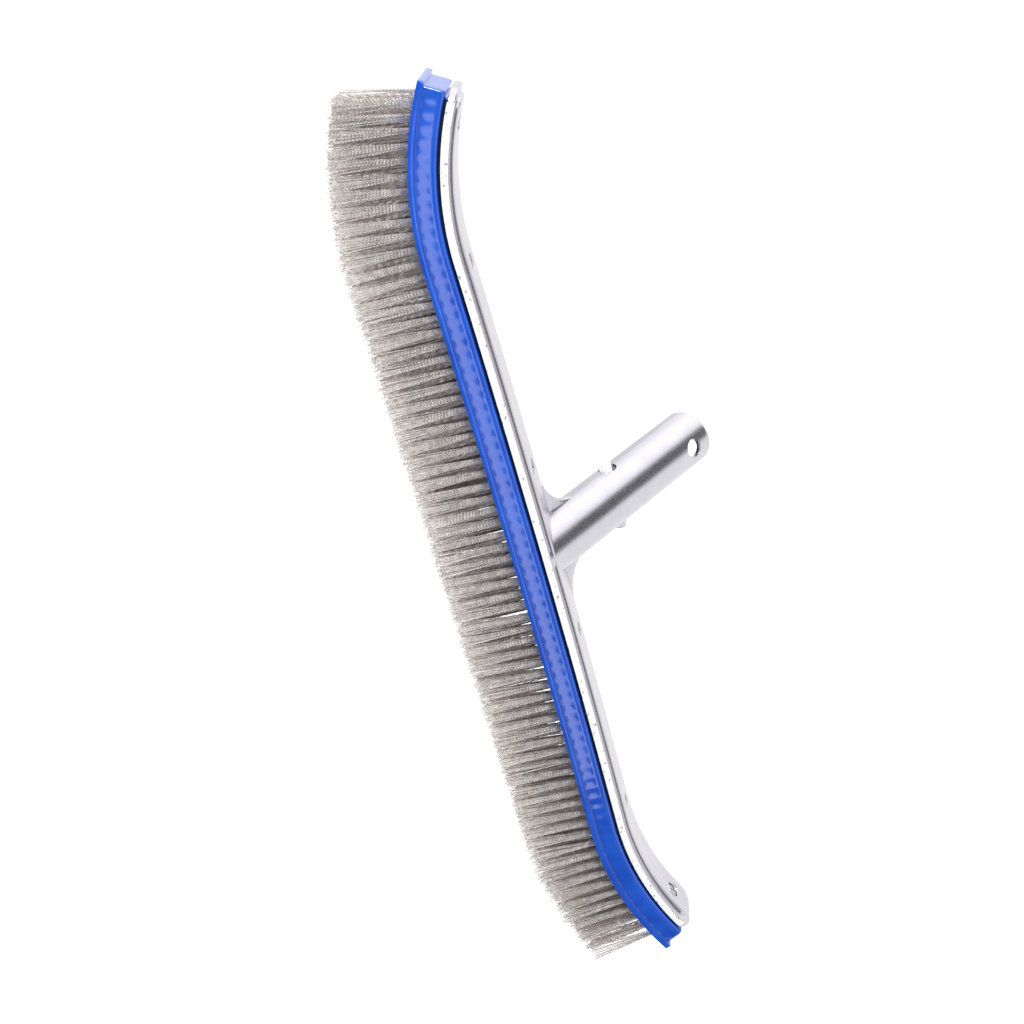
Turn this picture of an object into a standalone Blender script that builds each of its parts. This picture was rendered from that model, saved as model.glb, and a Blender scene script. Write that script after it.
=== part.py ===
"""Pool wall brush: a curved plastic bristle block set with steel tufts, screwed under a cast
aluminium back whose leaning handle tube holds a sprung V clip with two snap buttons.

X runs along the brush, Y across it and Z up from the bristle tips to the back.
The handle tube leans towards +Y. The origin is the middle of the plane of the bristle tips.
"""
import math

import bmesh
import bpy
from mathutils import Matrix, Vector

MM = 0.001
GAP = 0.3 * MM

# Lengthwise curve of the block: a barely bowed middle with a curl up at each end
OVERALL_LENGTH = 457.2 * MM
BOW_RADIUS = 8500.0 * MM
CURL_RADIUS = 156.0 * MM
CURL_START = 148.0 * MM
BOW_STEP = 37.0 * MM
CURL_STEP = 5.5 * MM

# Bristle tufts: five staggered rows, grouped into banks of neighbouring ranks
TUFT_LENGTH = 36.5 * MM
TUFT_PITCH = 6.37 * MM
LAST_RANK = 35
ROW_SPACING = 5.8 * MM
TUFT_HALF_SIDE = 1.35 * MM
TUFT_HOLE_HALF_SIDE = TUFT_HALF_SIDE + GAP
TUFT_HOLE_DEPTH = 6.0 * MM
TUFT_NECK = 9.0 * MM
TUFT_FAN = 0.5
BANK_HALF_WIDTH_TOP = 13.6 * MM
BANK_HALF_WIDTH_TIP = 15.6 * MM
BANK_SPACE = 0.4 * MM

# Bristle block, heights above its bristle face
FLANGE_HALF_WIDTH = 17.3 * MM
FLANGE_THICKNESS = 3.0 * MM
BODY_HALF_WIDTH = 15.8 * MM
BODY_TOP = 12.4 * MM
BODY_END_INSET = 1.7 * MM
TONGUE_HALF_WIDTH = 11.8 * MM
TONGUE_TOP = 15.6 * MM
TONGUE_END_INSET = 5.0 * MM

# Cast back, heights above the bristle face
SKIRT_BOTTOM = 13.8 * MM
SKIRT_TOP = 17.3 * MM
SKIRT_HALF_WIDTH = 15.8 * MM
SKIRT_END_INSET = 0.2 * MM
SKIRT_CORNER = 8.0 * MM
RIB_HALF_WIDTH = 10.8 * MM
RIB_TOP = 19.2 * MM
RIB_END_INSET = 4.5 * MM
RIB_CORNER = 5.0 * MM

# Handle tube: stations run along its axis from where that crosses the brush's mid plane
HANDLE_LEAN = math.radians(54.3)
HANDLE_AXIS_HEIGHT = 8.7 * MM
HANDLE_RADIUS = 14.3 * MM
HANDLE_BORE_RADIUS = 12.1 * MM
HANDLE_END = 132.4 * MM
HANDLE_RIM = 1.0 * MM
BORE_FLOOR = 30.0 * MM
CROSS_HOLE_STATION = 117.5 * MM
CROSS_HOLE_RADIUS = 5.2 * MM

# Webs at the handle's foot, in the plane of the handle axis: (X, station) in millimetres
WEB_FOOT = 12.2
WEB_EDGE = ((33.0, 14.0), (28.5, 16.0), (25.5, 17.3), (23.0, 19.0), (20.3, 21.3), (18.0, 24.3),
            (16.5, 27.3), (15.2, 31.0), (13.0, 36.0))
WEB_HALF_THICKNESS = 2.2 * MM

# Snap clip in the handle tube
BUTTON_STATION = 63.2 * MM
BUTTON_RADIUS = 3.2 * MM
BUTTON_PROUD = 3.9 * MM
BUTTON_HOLE_STATION = 64.4 * MM
BUTTON_HOLE_RADIUS = 4.8 * MM
CLIP_THICKNESS = 1.8 * MM
CLIP_WIDTH = 9.0 * MM
CLIP_BEND_STATION = 31.0 * MM
CLIP_HINGE_STATION = 38.0 * MM
CLIP_HINGE_X = 4.2 * MM
CLIP_ARM_END_X = 9.6 * MM
CLIP_ARM_END = 68.5 * MM

# Screws that hold the block under the back
SCREW_STATIONS = (-214.0, -145.0, -44.0, 44.0, 145.0, 214.0)
SCREW_HEAD_RADIUS = 3.5 * MM
SCREW_HEAD_HEIGHT = 1.5 * MM
SCREW_SHANK_RADIUS = 1.7 * MM
SCREW_LENGTH = 9.5 * MM
SCREW_SUNK = 1.9 * MM
SLOT_WIDTH = 0.9 * MM
SLOT_DEPTH = 0.7 * MM

MATERIALS = {
    "cast_aluminium": ((0.70, 0.70, 0.72), 0.34, 1.0),
    "blue_plastic": ((0.02, 0.08, 0.62), 0.25, 0.0),
    "steel_bristle": ((0.46, 0.43, 0.39), 0.40, 1.0),
    "screw_steel": ((0.55, 0.55, 0.56), 0.35, 1.0),
    "white_nylon": ((0.86, 0.87, 0.88), 0.40, 0.0),
}


# ---------------------------------------------------------------- lengthwise curve

def path_heading(s):
    """Slope angle of the bristle face at arc length s from the middle, for s >= 0."""
    if s <= CURL_START:
        return -s / BOW_RADIUS
    return -CURL_START / BOW_RADIUS + (s - CURL_START) / CURL_RADIUS


def path_xz(s, height):
    """Point at arc length s, at a height above the bristle face along its normal."""
    side = math.copysign(1.0, s)
    s = abs(s)
    bow = min(s, CURL_START) / BOW_RADIUS
    x = BOW_RADIUS * math.sin(bow)
    z = BOW_RADIUS * (math.cos(bow) - 1.0)
    heading = path_heading(s)
    if s > CURL_START:
        start = path_heading(CURL_START)
        x += CURL_RADIUS * (math.sin(heading) - math.sin(start))
        z += CURL_RADIUS * (math.cos(start) - math.cos(heading))
    return side * (x - height * math.sin(heading)), z + height * math.cos(heading)


def half_arc_length():
    """Arc length from the middle to the block's end, where X is half the overall length."""
    low, high = CURL_START, OVERALL_LENGTH
    for _ in range(50):
        middle = (low + high) / 2.0
        if path_xz(middle, 0.0)[0] < OVERALL_LENGTH / 2.0:
            low = middle
        else:
            high = middle
    return low


HALF_ARC = half_arc_length()
FACE_HEIGHT = TUFT_LENGTH - path_xz(CURL_START, 0.0)[1]


def path_stations(end):
    """Arc lengths from -end to +end, close together only where the path curls."""
    curl_count = math.ceil((end - CURL_START) / CURL_STEP)
    bow_count = round(CURL_START / BOW_STEP)
    half = [CURL_START * i / bow_count for i in range(bow_count)]
    half += [CURL_START + (end - CURL_START) * i / curl_count for i in range(curl_count + 1)]
    return [-s for s in reversed(half[1:])] + half


# ---------------------------------------------------------------- modelling helpers

def collection(name):
    group = bpy.data.collections.new(name)
    bpy.context.scene.collection.children.link(group)
    return group


def material(name):
    color, roughness, metallic = MATERIALS[name]
    made = bpy.data.materials.get(name) or bpy.data.materials.new(name)
    made.use_nodes = True
    shader = made.node_tree.nodes["Principled BSDF"]
    shader.inputs["Base Color"].default_value = (*color, 1.0)
    shader.inputs["Roughness"].default_value = roughness
    shader.inputs["Metallic"].default_value = metallic
    return made


def add_object(name, data, place=Matrix.Identity(4)):
    made = bpy.data.objects.new(name, data)
    PARTS.objects.link(made)
    made.matrix_world = place
    return made


def finish(part, material_name, smooth_angle=35.0):
    part.data.materials.clear()
    part.data.materials.append(material(material_name))
    part.data.shade_smooth()
    part.data.set_sharp_from_angle(angle=math.radians(smooth_angle))
    return part


def frozen(source):
    """Replace an object by a plain mesh of what it evaluates to."""
    bpy.context.view_layer.update()
    shape = source.evaluated_get(bpy.context.evaluated_depsgraph_get())
    mesh = bpy.data.meshes.new_from_object(shape)
    place, name = source.matrix_world.copy(), source.name
    bpy.data.objects.remove(source)
    weld = bmesh.new()
    weld.from_mesh(mesh)
    bmesh.ops.remove_doubles(weld, verts=weld.verts, dist=0.001 * MM)
    weld.to_mesh(mesh)
    weld.free()
    return add_object(name, mesh, place)


def combine(target, tool, operation):
    """Join, cut or intersect the target with a tool, which becomes a hidden cutter."""
    PARTS.objects.unlink(tool)
    CUTTERS.objects.link(tool)
    tool.display_type = "WIRE"
    tool.hide_render = True
    boolean = target.modifiers.new(tool.name, "BOOLEAN")
    boolean.operation = operation
    boolean.solver = "EXACT"
    boolean.object = tool


def flat_outline(name, points, half_thickness, place):
    """A closed outline in a plane, thickened both ways."""
    curve = bpy.data.curves.new(name, "CURVE")
    curve.dimensions = "2D"
    curve.fill_mode = "BOTH"
    curve.extrude = half_thickness
    spline = curve.splines.new("POLY")
    spline.points.add(len(points) - 1)
    for point, (a, b) in zip(spline.points, points):
        point.co = (a, b, 0.0, 1.0)
    spline.use_cyclic_u = True
    return frozen(add_object(name, curve, place))


def upright(y=0.0):
    """Turn an outline's plane to face along Y, with its own up along Z."""
    lift = Matrix.Translation((0.0, y, FACE_HEIGHT))
    return lift @ Matrix.Rotation(math.radians(90.0), 4, "X")


def curved_bar(name, low, high, half_width, inset):
    """A bar that follows the lengthwise curve between two heights."""
    stations = path_stations(HALF_ARC - inset)
    outline = [path_xz(s, low) for s in stations]
    outline += [path_xz(s, high) for s in reversed(stations)]
    return flat_outline(name, outline, half_width, upright())


def turned(name, profile, steps, place):
    """A solid of revolution: profile points are (radius, height), top to bottom."""
    mesh = bpy.data.meshes.new(name)
    mesh.from_pydata([(r, 0.0, h) for r, h in profile],
                     [(i, i + 1) for i in range(len(profile) - 1)], [])
    solid = add_object(name, mesh, place)
    screw = solid.modifiers.new("turn", "SCREW")
    screw.steps = steps
    screw.render_steps = steps
    screw.use_merge_vertices = True
    screw.merge_threshold = 0.01 * MM
    return frozen(solid)


def cylinder(name, radius, low, high, steps, place):
    profile = [(0.0, high), (radius, high), (radius, low), (0.0, low)]
    return turned(name, profile, steps, place)


def box(name, low, high, place=Matrix.Identity(4)):
    """A box between two corners, built from a cube."""
    shape = bmesh.new()
    bmesh.ops.create_cube(shape, size=1.0)
    low, high = Vector(low), Vector(high)
    for vert in shape.verts:
        vert.co = [(a + b) / 2.0 + c * (b - a) for a, b, c in zip(low, high, vert.co)]
    mesh = bpy.data.meshes.new(name)
    shape.to_mesh(mesh)
    shape.free()
    return add_object(name, mesh, place)


# ---------------------------------------------------------------- frames of reference

def handle_frame():
    """Local Z along the handle axis, local X along the brush."""
    base = Matrix.Translation((0.0, 0.0, FACE_HEIGHT + HANDLE_AXIS_HEIGHT))
    return base @ Matrix.Rotation(-HANDLE_LEAN, 4, "X")


def across_handle(station):
    """Local Z along the brush, crossing the handle axis at a station."""
    across = Matrix.Rotation(math.radians(90.0), 4, "Y")
    return handle_frame() @ Matrix.Translation((0.0, 0.0, station)) @ across


def through_handle_face(station):
    """Local Z square to both the brush and the handle axis, crossing it at a station."""
    across = Matrix.Rotation(math.radians(90.0), 4, "X")
    return handle_frame() @ Matrix.Translation((0.0, 0.0, station)) @ across


def normal_frame(s, height):
    """Local Z along the outward normal of the block's back at arc length s."""
    x, z = path_xz(s, height)
    turn = -math.copysign(1.0, s) * path_heading(abs(s))
    return Matrix.Translation((x, 0.0, FACE_HEIGHT + z)) @ Matrix.Rotation(turn, 4, "Y")


def tuft_frame(s):
    """Local Z up a tuft's own direction, which fans out by part of the block's slope."""
    x, z = path_xz(s, 0.0)
    fan = TUFT_FAN * max(path_heading(abs(s)), 0.0)
    turn = -math.copysign(1.0, s) * fan
    return Matrix.Translation((x, 0.0, FACE_HEIGHT + z)) @ Matrix.Rotation(turn, 4, "Y")


# ---------------------------------------------------------------- bristle tufts

def tuft_banks():
    """Banks as (centre rank, outer-row ranks, inner-row ranks), from end to end."""
    banks = [(0.0, (-1, 0, 1), (-0.5, 0.5))]
    for first in range(2, LAST_RANK, 2):
        centre = first + 0.25
        outer = (first, first + 1)
        inner = (first - 0.5, first + 0.5)
        banks.append((centre, outer, inner))
        banks.append((-centre, tuple(-k for k in outer), tuple(-k for k in inner)))
    return sorted(banks)


def tuft_places(centre, outer, inner):
    """Each tuft of a bank as (offset along the bank, row position)."""
    places = [((k - centre) * TUFT_PITCH, row * ROW_SPACING) for k in outer for row in (-2, 0, 2)]
    places += [((k - centre) * TUFT_PITCH, row * ROW_SPACING) for k in inner for row in (-1, 1)]
    return places


def prisms(name, places, half_side, low, high, place):
    """Square prisms standing at the tufts' places, as one set."""
    shape = bmesh.new()
    for x, y in places:
        cube = bmesh.ops.create_cube(shape, size=1.0)
        for vert in cube["verts"]:
            side = Vector((vert.co.x * 2.0 * half_side, vert.co.y * 2.0 * half_side))
            vert.co = (x + side.x, y + side.y, low if vert.co.z < 0.0 else high)
    mesh = bpy.data.meshes.new(name)
    shape.to_mesh(mesh)
    shape.free()
    return add_object(name, mesh, place)


def bank_length(s, place):
    """Free length of a bank: trimmed flush in the middle, full length on the curls."""
    if abs(s) <= CURL_START:
        return place.translation.z
    return TUFT_LENGTH


def tuft_bank(number, centre, outer, inner):
    """Tufts whose wires are bunched in the block's holes and merge towards their tips."""
    s = centre * TUFT_PITCH
    place = tuft_frame(s)
    length = bank_length(s, place)
    ranks = outer + inner
    reach = ((max(ranks) - min(ranks) + 0.5) * TUFT_PITCH - BANK_SPACE) / 2.0
    name = f"tuft_bank_{number:02d}"
    shape = bmesh.new()
    bmesh.ops.create_cube(shape, size=1.0)
    for vert in shape.verts:
        top = vert.co.z > 0.0
        half_width = BANK_HALF_WIDTH_TOP if top else BANK_HALF_WIDTH_TIP
        height = -TUFT_NECK if top else -length
        vert.co = (vert.co.x * 2.0 * reach, vert.co.y * 2.0 * half_width, height)
    mesh = bpy.data.meshes.new(name)
    shape.to_mesh(mesh)
    shape.free()
    bank = add_object(name, mesh, place)
    roots = prisms(f"{name}_roots", tuft_places(centre, outer, inner), TUFT_HALF_SIDE,
                   -TUFT_NECK - 2.0 * MM, TUFT_HOLE_DEPTH - GAP, place)
    combine(bank, roots, "UNION")
    return finish(bank, "steel_bristle")


# ---------------------------------------------------------------- block, screws and back

def bristle_block():
    block = curved_bar("bristle_block", 0.0, FLANGE_THICKNESS, FLANGE_HALF_WIDTH, 0.0)
    overlap = 0.5 * MM
    body = curved_bar("block_body", FLANGE_THICKNESS - overlap, BODY_TOP, BODY_HALF_WIDTH,
                      BODY_END_INSET)
    tongue = curved_bar("block_tongue", BODY_TOP - overlap, TONGUE_TOP, TONGUE_HALF_WIDTH,
                        TONGUE_END_INSET)
    combine(block, body, "UNION")
    combine(block, tongue, "UNION")
    for number, (centre, outer, inner) in enumerate(tuft_banks(), start=1):
        holes = prisms(f"tuft_holes_{number:02d}", tuft_places(centre, outer, inner),
                       TUFT_HOLE_HALF_SIDE, -3.0 * MM, TUFT_HOLE_DEPTH, tuft_frame(centre * TUFT_PITCH))
        combine(block, holes, "DIFFERENCE")
    for number, station in enumerate(SCREW_STATIONS, start=1):
        pilot = cylinder(f"pilot_hole_{number}", SCREW_SHANK_RADIUS + GAP,
                         RIB_TOP - SCREW_SUNK - SCREW_LENGTH - GAP, RIB_TOP, 12,
                         normal_frame(station * MM, 0.0))
        combine(block, pilot, "DIFFERENCE")
    return finish(block, "blue_plastic")


def block_screw(number, station):
    """Pan-head screw with a straight slot, sunk in the back's rib."""
    place = normal_frame(station * MM, RIB_TOP - SCREW_SUNK)
    profile = [(0.0, SCREW_HEAD_HEIGHT), (SCREW_HEAD_RADIUS * 0.8, SCREW_HEAD_HEIGHT),
               (SCREW_HEAD_RADIUS, SCREW_HEAD_HEIGHT * 0.5), (SCREW_HEAD_RADIUS, GAP),
               (SCREW_SHANK_RADIUS, GAP), (SCREW_SHANK_RADIUS, -SCREW_LENGTH + 2.0 * MM),
               (0.0, -SCREW_LENGTH)]
    screw = turned(f"block_screw_{number}", profile, 16, place)
    slot = box(f"screw_slot_{number}",
               (-5.0 * MM, -SLOT_WIDTH / 2.0, SCREW_HEAD_HEIGHT - SLOT_DEPTH),
               (5.0 * MM, SLOT_WIDTH / 2.0, SCREW_HEAD_HEIGHT + 1.0 * MM), place)
    combine(screw, slot, "DIFFERENCE")
    return finish(screw, "screw_steel")


def plan_outline(half_length, half_width, corner):
    """Rounded rectangle of the back seen from above."""
    points = []
    for quarter in range(4):
        cx = (half_length - corner) * (1 if quarter in (0, 3) else -1)
        cy = (half_width - corner) * (1 if quarter < 2 else -1)
        for step in range(4):
            angle = math.radians(90.0 * quarter + 30.0 * step)
            points.append((cx + corner * math.cos(angle), cy + corner * math.sin(angle)))
    return points


def rounded_bar(name, low, high, half_width, inset, corner):
    """A curved bar whose four corners are rounded as seen from above."""
    bar = curved_bar(name, low, high, half_width, inset)
    end_x = path_xz(HALF_ARC - inset, (low + high) / 2.0)[0]
    outline = plan_outline(end_x, half_width + 0.05 * MM, corner)
    combine(bar, flat_outline(f"{name}_plan", outline, 0.2, Matrix.Identity(4)), "INTERSECT")
    return frozen(bar)


def foot_web(name, side):
    """Concave web from the rib to the handle tube's flank, leaning with the tube."""
    outline = [(0.0, WEB_FOOT), (WEB_EDGE[0][0], WEB_FOOT), *WEB_EDGE, (0.0, WEB_EDGE[-1][1])]
    outline = [(side * x * MM, station * MM) for x, station in outline]
    place = handle_frame() @ Matrix.Rotation(math.radians(90.0), 4, "X")
    return flat_outline(name, outline, WEB_HALF_THICKNESS, place)


def back_casting():
    """Curved back plate with a raised rib, in one casting with the handle tube."""
    casting = rounded_bar("back_casting", SKIRT_BOTTOM, SKIRT_TOP, SKIRT_HALF_WIDTH,
                          SKIRT_END_INSET, SKIRT_CORNER)
    rib = rounded_bar("back_rib", SKIRT_BOTTOM + 1.0 * MM, RIB_TOP, RIB_HALF_WIDTH,
                      RIB_END_INSET, RIB_CORNER)
    combine(casting, rib, "UNION")
    rim = HANDLE_RIM
    tube = turned("handle_tube", [(0.0, HANDLE_END), (HANDLE_RADIUS - rim, HANDLE_END),
                                  (HANDLE_RADIUS, HANDLE_END - rim), (HANDLE_RADIUS, -10.0 * MM),
                                  (0.0, -10.0 * MM)], 40, handle_frame())
    under = box("under_the_back", (-30.0 * MM, -30.0 * MM, 0.0),
                (30.0 * MM, 45.0 * MM, FACE_HEIGHT + SKIRT_BOTTOM))
    combine(tube, under, "DIFFERENCE")
    tube = frozen(tube)
    combine(casting, tube, "UNION")
    for side, label in ((-1, "left"), (1, "right")):
        combine(casting, foot_web(f"{label}_foot_web", side), "UNION")
    channel = curved_bar("tongue_channel", SKIRT_BOTTOM - 1.0 * MM, TONGUE_TOP + GAP,
                         TONGUE_HALF_WIDTH + GAP, TONGUE_END_INSET - GAP)
    combine(casting, channel, "DIFFERENCE")
    bore = cylinder("handle_bore", HANDLE_BORE_RADIUS, BORE_FLOOR, HANDLE_END + 1.0 * MM, 40,
                    handle_frame())
    combine(casting, bore, "DIFFERENCE")
    casting = frozen(casting)
    reach = HANDLE_RADIUS + 2.0 * MM
    cross_hole = cylinder("cross_hole", CROSS_HOLE_RADIUS, -reach, reach, 24,
                          through_handle_face(CROSS_HOLE_STATION))
    combine(casting, cross_hole, "DIFFERENCE")
    button_hole = cylinder("button_hole", BUTTON_HOLE_RADIUS, -reach, reach, 24,
                           across_handle(BUTTON_HOLE_STATION))
    combine(casting, button_hole, "DIFFERENCE")
    for number, station in enumerate(SCREW_STATIONS, start=1):
        place = normal_frame(station * MM, RIB_TOP)
        profile = [(0.0, 1.0 * MM), (SCREW_HEAD_RADIUS + GAP, 1.0 * MM),
                   (SCREW_HEAD_RADIUS + GAP, -SCREW_SUNK),
                   (SCREW_SHANK_RADIUS + GAP, -SCREW_SUNK),
                   (SCREW_SHANK_RADIUS + GAP, -5.0 * MM), (0.0, -5.0 * MM)]
        combine(casting, turned(f"screw_seat_{number}", profile, 16, place), "DIFFERENCE")
    return finish(casting, "cast_aluminium")


# ---------------------------------------------------------------- snap clip

def clip_bend():
    """The clip's closed end, a half ring standing on the floor of the tube's bore."""
    outer = CLIP_HINGE_X + CLIP_THICKNESS / 2.0
    inner = CLIP_HINGE_X - CLIP_THICKNESS / 2.0
    centre = CLIP_BEND_STATION + outer
    tip = CLIP_HINGE_STATION - GAP
    arc = [math.radians(180.0 + 20.0 * i) for i in range(10)]
    outline = [(-outer, tip)]
    outline += [(outer * math.cos(a), centre + outer * math.sin(a)) for a in arc]
    outline += [(outer, tip), (inner, tip)]
    outline += [(inner * math.cos(a), centre + inner * math.sin(a)) for a in reversed(arc)]
    outline += [(-inner, tip)]
    place = handle_frame() @ Matrix.Rotation(math.radians(90.0), 4, "X")
    return finish(flat_outline("clip_bend", outline, CLIP_WIDTH / 2.0, place), "white_nylon")


def clip_arm(label, side):
    """One springy arm of the clip with its snap button, hinged where it leaves the bend."""
    pivot = bpy.data.objects.new(f"{label}_arm_pivot", None)
    PARTS.objects.link(pivot)
    hinge = Matrix.Translation((side * CLIP_HINGE_X, 0.0, CLIP_HINGE_STATION))
    pivot.matrix_world = handle_frame() @ hinge
    half = CLIP_THICKNESS / 2.0
    run = CLIP_ARM_END_X - CLIP_HINGE_X
    knee = BUTTON_STATION - 5.0 * MM - CLIP_HINGE_STATION
    end = CLIP_ARM_END - CLIP_HINGE_STATION
    outline = [(-half, 0.0), (half, 0.0), (run + half, knee), (run + half, end), (run - half, end),
               (run - half, knee)]
    plane = Matrix.Rotation(math.radians(90.0), 4, "X")
    outline = [(side * x, z) for x, z in outline]
    arm = flat_outline(f"clip_arm_{label}", outline, CLIP_WIDTH / 2.0, pivot.matrix_world @ plane)
    tip = HANDLE_RADIUS + BUTTON_PROUD - CLIP_HINGE_X
    dome = 0.9 * MM
    profile = [(0.0, tip), (BUTTON_RADIUS * 0.62, tip), (BUTTON_RADIUS * 0.9, tip - dome * 0.4),
               (BUTTON_RADIUS, tip - dome), (BUTTON_RADIUS, run - half * 0.5),
               (0.0, run - half * 0.5)]
    outwards = Matrix.Rotation(math.radians(side * 90.0), 4, "Y")
    height = Matrix.Translation((0.0, 0.0, BUTTON_STATION - CLIP_HINGE_STATION))
    button = turned(f"snap_button_{label}", profile, 20, pivot.matrix_world @ height @ outwards)
    combine(arm, button, "UNION")
    place = arm.matrix_world.copy()
    arm.parent = pivot
    arm.matrix_world = place
    return finish(arm, "white_nylon")


# ---------------------------------------------------------------- assembly

for old in list(bpy.data.objects):
    bpy.data.objects.remove(old)
PARTS = collection("pool_wall_brush")
CUTTERS = collection("cutters")

bristle_block()
back_casting()
for number, station in enumerate(SCREW_STATIONS, start=1):
    block_screw(number, station)
for number, (centre, outer, inner) in enumerate(tuft_banks(), start=1):
    tuft_bank(number, centre, outer, inner)
clip_bend()
clip_arm("left", -1)
clip_arm("right", 1)
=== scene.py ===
"""Looks of the pool wall brush: crimped steel tufts, the glossy block, the cast back with its
leaning handle tube, screws and snap clip, on a pale floor under soft light.

Lengths are in metres in the row frame: X along the brush, Y across it, Z up from the bristle tips.
A station s is an arc length along the bristle face, and a height is above that face.
"""
import math

import bmesh
import bpy
import numpy as np
from mathutils import Matrix, Quaternion, Vector


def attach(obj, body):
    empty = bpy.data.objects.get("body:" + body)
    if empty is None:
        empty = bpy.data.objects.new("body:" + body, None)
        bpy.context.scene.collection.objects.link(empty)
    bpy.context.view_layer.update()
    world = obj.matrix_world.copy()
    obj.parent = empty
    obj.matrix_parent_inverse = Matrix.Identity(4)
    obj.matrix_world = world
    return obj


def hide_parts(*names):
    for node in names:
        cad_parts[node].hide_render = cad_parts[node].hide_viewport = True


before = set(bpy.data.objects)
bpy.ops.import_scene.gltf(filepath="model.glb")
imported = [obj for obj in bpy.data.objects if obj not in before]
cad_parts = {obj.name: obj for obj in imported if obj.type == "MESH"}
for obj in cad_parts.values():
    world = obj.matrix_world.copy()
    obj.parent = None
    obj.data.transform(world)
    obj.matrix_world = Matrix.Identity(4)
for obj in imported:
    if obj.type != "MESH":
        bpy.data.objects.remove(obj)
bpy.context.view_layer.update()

MM = 0.001

# Lengthwise curve, as in the CAD part
OVERALL_LENGTH = 457.2 * MM
BOW_RADIUS = 8500.0 * MM
CURL_RADIUS = 156.0 * MM
CURL_START = 148.0 * MM

# Bristle tufts
TUFT_LENGTH = 36.5 * MM
TUFT_PITCH = 6.37 * MM
LAST_RANK = 35
ROW_SPACING = 5.8 * MM
TUFT_HOLE_RADIUS = 1.75 * MM
TUFT_HOLE_DEPTH = 6.0 * MM
TUFT_FAN = 0.5
OUTER_ROW = 2

# Wires, which differ between the outer rows of tufts and the rows behind them
WIRES_PER_TUFT = 16
WIRE_CORNERS = 3
WIRE_ROOT_DEPTH = 4.0 * MM
OUTER_WIRE_RADIUS = 0.22 * MM
INNER_WIRE_RADIUS = 0.33 * MM
OUTER_BUNCH = 1.05 * MM
INNER_BUNCH = 1.65 * MM
OUTER_SPLAY_POWER = 1.15
INNER_SPLAY_POWER = 0.35
WIRE_SPLAY = 3.3 * MM
SPLAY_SPREAD = 0.18
WIRE_STRAY = 0.35 * MM
TUFT_LEAN = 0.6 * MM
GOLDEN_ANGLE = 2.39996
OUTER_CRIMP_STEP = 0.8 * MM
INNER_CRIMP_STEP = 2.0 * MM
CRIMP_HEIGHT = 0.20 * MM
CRIMP_TURN = 0.5
CRIMP_SIGNS = [1.0, 1.0, 1.0, 1.0, -1.0]
RAGGED = 2.4 * MM
RAGGED_TUFT = 0.7 * MM
END_SPLAY = 0.55
# Painted shade: the chance that a wire takes the nearly black steel, as a share and a slope
# towards the +X side of its tuft; nearly every inner wire is painted as shaded
OUTER_PAINTED_SHADE_SHARE = (0.62, 1.4)
INNER_PAINTED_SHADE_SHARE = (1.2, 0.2)

# Bristle block
FLANGE_HALF_WIDTH = 17.3 * MM
FLANGE_THICKNESS = 3.0 * MM
BODY_HALF_WIDTH = 15.8 * MM
BODY_TOP = 12.4 * MM
BODY_END_INSET = 1.7 * MM
TONGUE_HALF_WIDTH = 11.8 * MM
TONGUE_TOP = 15.6 * MM
TONGUE_END_INSET = 5.0 * MM
SINK_DEPTH = 0.14 * MM
BLOCK_EDGE = 0.35 * MM
BLOCK_CORNER = 1.2 * MM
TONGUE_CORNER = 1.0 * MM

# Cast back
SKIRT_BOTTOM = 13.8 * MM
SKIRT_TOP = 17.3 * MM
SKIRT_HALF_WIDTH = 15.8 * MM
SKIRT_END_INSET = 0.2 * MM
RIB_HALF_WIDTH = 10.8 * MM
RIB_TOP = 19.2 * MM
RIB_END_INSET = 4.5 * MM
SKIRT_CORNER = 8.5 * MM
RIB_CORNER = 6.0 * MM
CHANNEL_GAP = 0.3 * MM
CHANNEL_CORNER = 1.2 * MM
SKIRT_BOTTOM_ROUNDING = 0.5 * MM
SKIRT_TOP_ROUNDING = 0.9 * MM
RIB_ROUNDING = 1.0 * MM

# Handle tube
HANDLE_LEAN = math.radians(54.3)
HANDLE_AXIS_HEIGHT = 8.7 * MM
HANDLE_RADIUS = 14.3 * MM
HANDLE_BORE_RADIUS = 12.1 * MM
HANDLE_END = 132.4 * MM
HANDLE_ROUNDING = 1.6 * MM
HANDLE_HEEL_ROUNDING = 1.6 * MM
HANDLE_STEPS = 96
BORE_FLOOR = 30.0 * MM
CROSS_HOLE_STATION = 117.5 * MM
CROSS_HOLE_RADIUS = 5.2 * MM
CROSS_HOLE_LIP = 0.7 * MM

# Webs at the handle's foot, in the plane of the handle axis: (X, station) in millimetres
WEB_EDGE = ((33.0, 14.0), (28.5, 16.0), (25.5, 17.3), (23.0, 19.0), (20.3, 21.3), (18.0, 24.3),
            (16.5, 27.3), (15.2, 31.0), (13.0, 36.0))
WEB_HALF_THICKNESS = 2.4 * MM
WEB_SQUARENESS = 0.7

# Snap clip
BUTTON_STATION = 63.2 * MM
BUTTON_RADIUS = 3.2 * MM
BUTTON_PROUD = 3.9 * MM
BUTTON_HOLE_STATION = 64.4 * MM
BUTTON_HOLE_RADIUS = 4.8 * MM
CLIP_THICKNESS = 1.8 * MM
CLIP_WIDTH = 9.0 * MM
CLIP_HINGE_STATION = 38.0 * MM
CLIP_HINGE_X = 4.2 * MM
CLIP_ARM_END_X = 9.6 * MM
CLIP_ARM_END = 68.5 * MM
CLIP_EDGE = 0.45 * MM
BUTTON_EDGE = 0.8 * MM

# Screws
SCREW_STATIONS = tuple(s * MM for s in (-214.0, -145.0, -44.0, 44.0, 145.0, 214.0))
SCREW_HEAD_RADIUS = 3.5 * MM
SCREW_HEAD_HEIGHT = 1.5 * MM
SCREW_SUNK = 1.9 * MM
SCREW_SHANK_RADIUS = 1.7 * MM
SCREW_TURNS = (25.0, -35.0, 60.0, 10.0, -50.0, 35.0)
SLOT_WIDTH = 0.9 * MM
SLOT_DEPTH = 0.7 * MM
SCREW_GAP = 0.3 * MM

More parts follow.
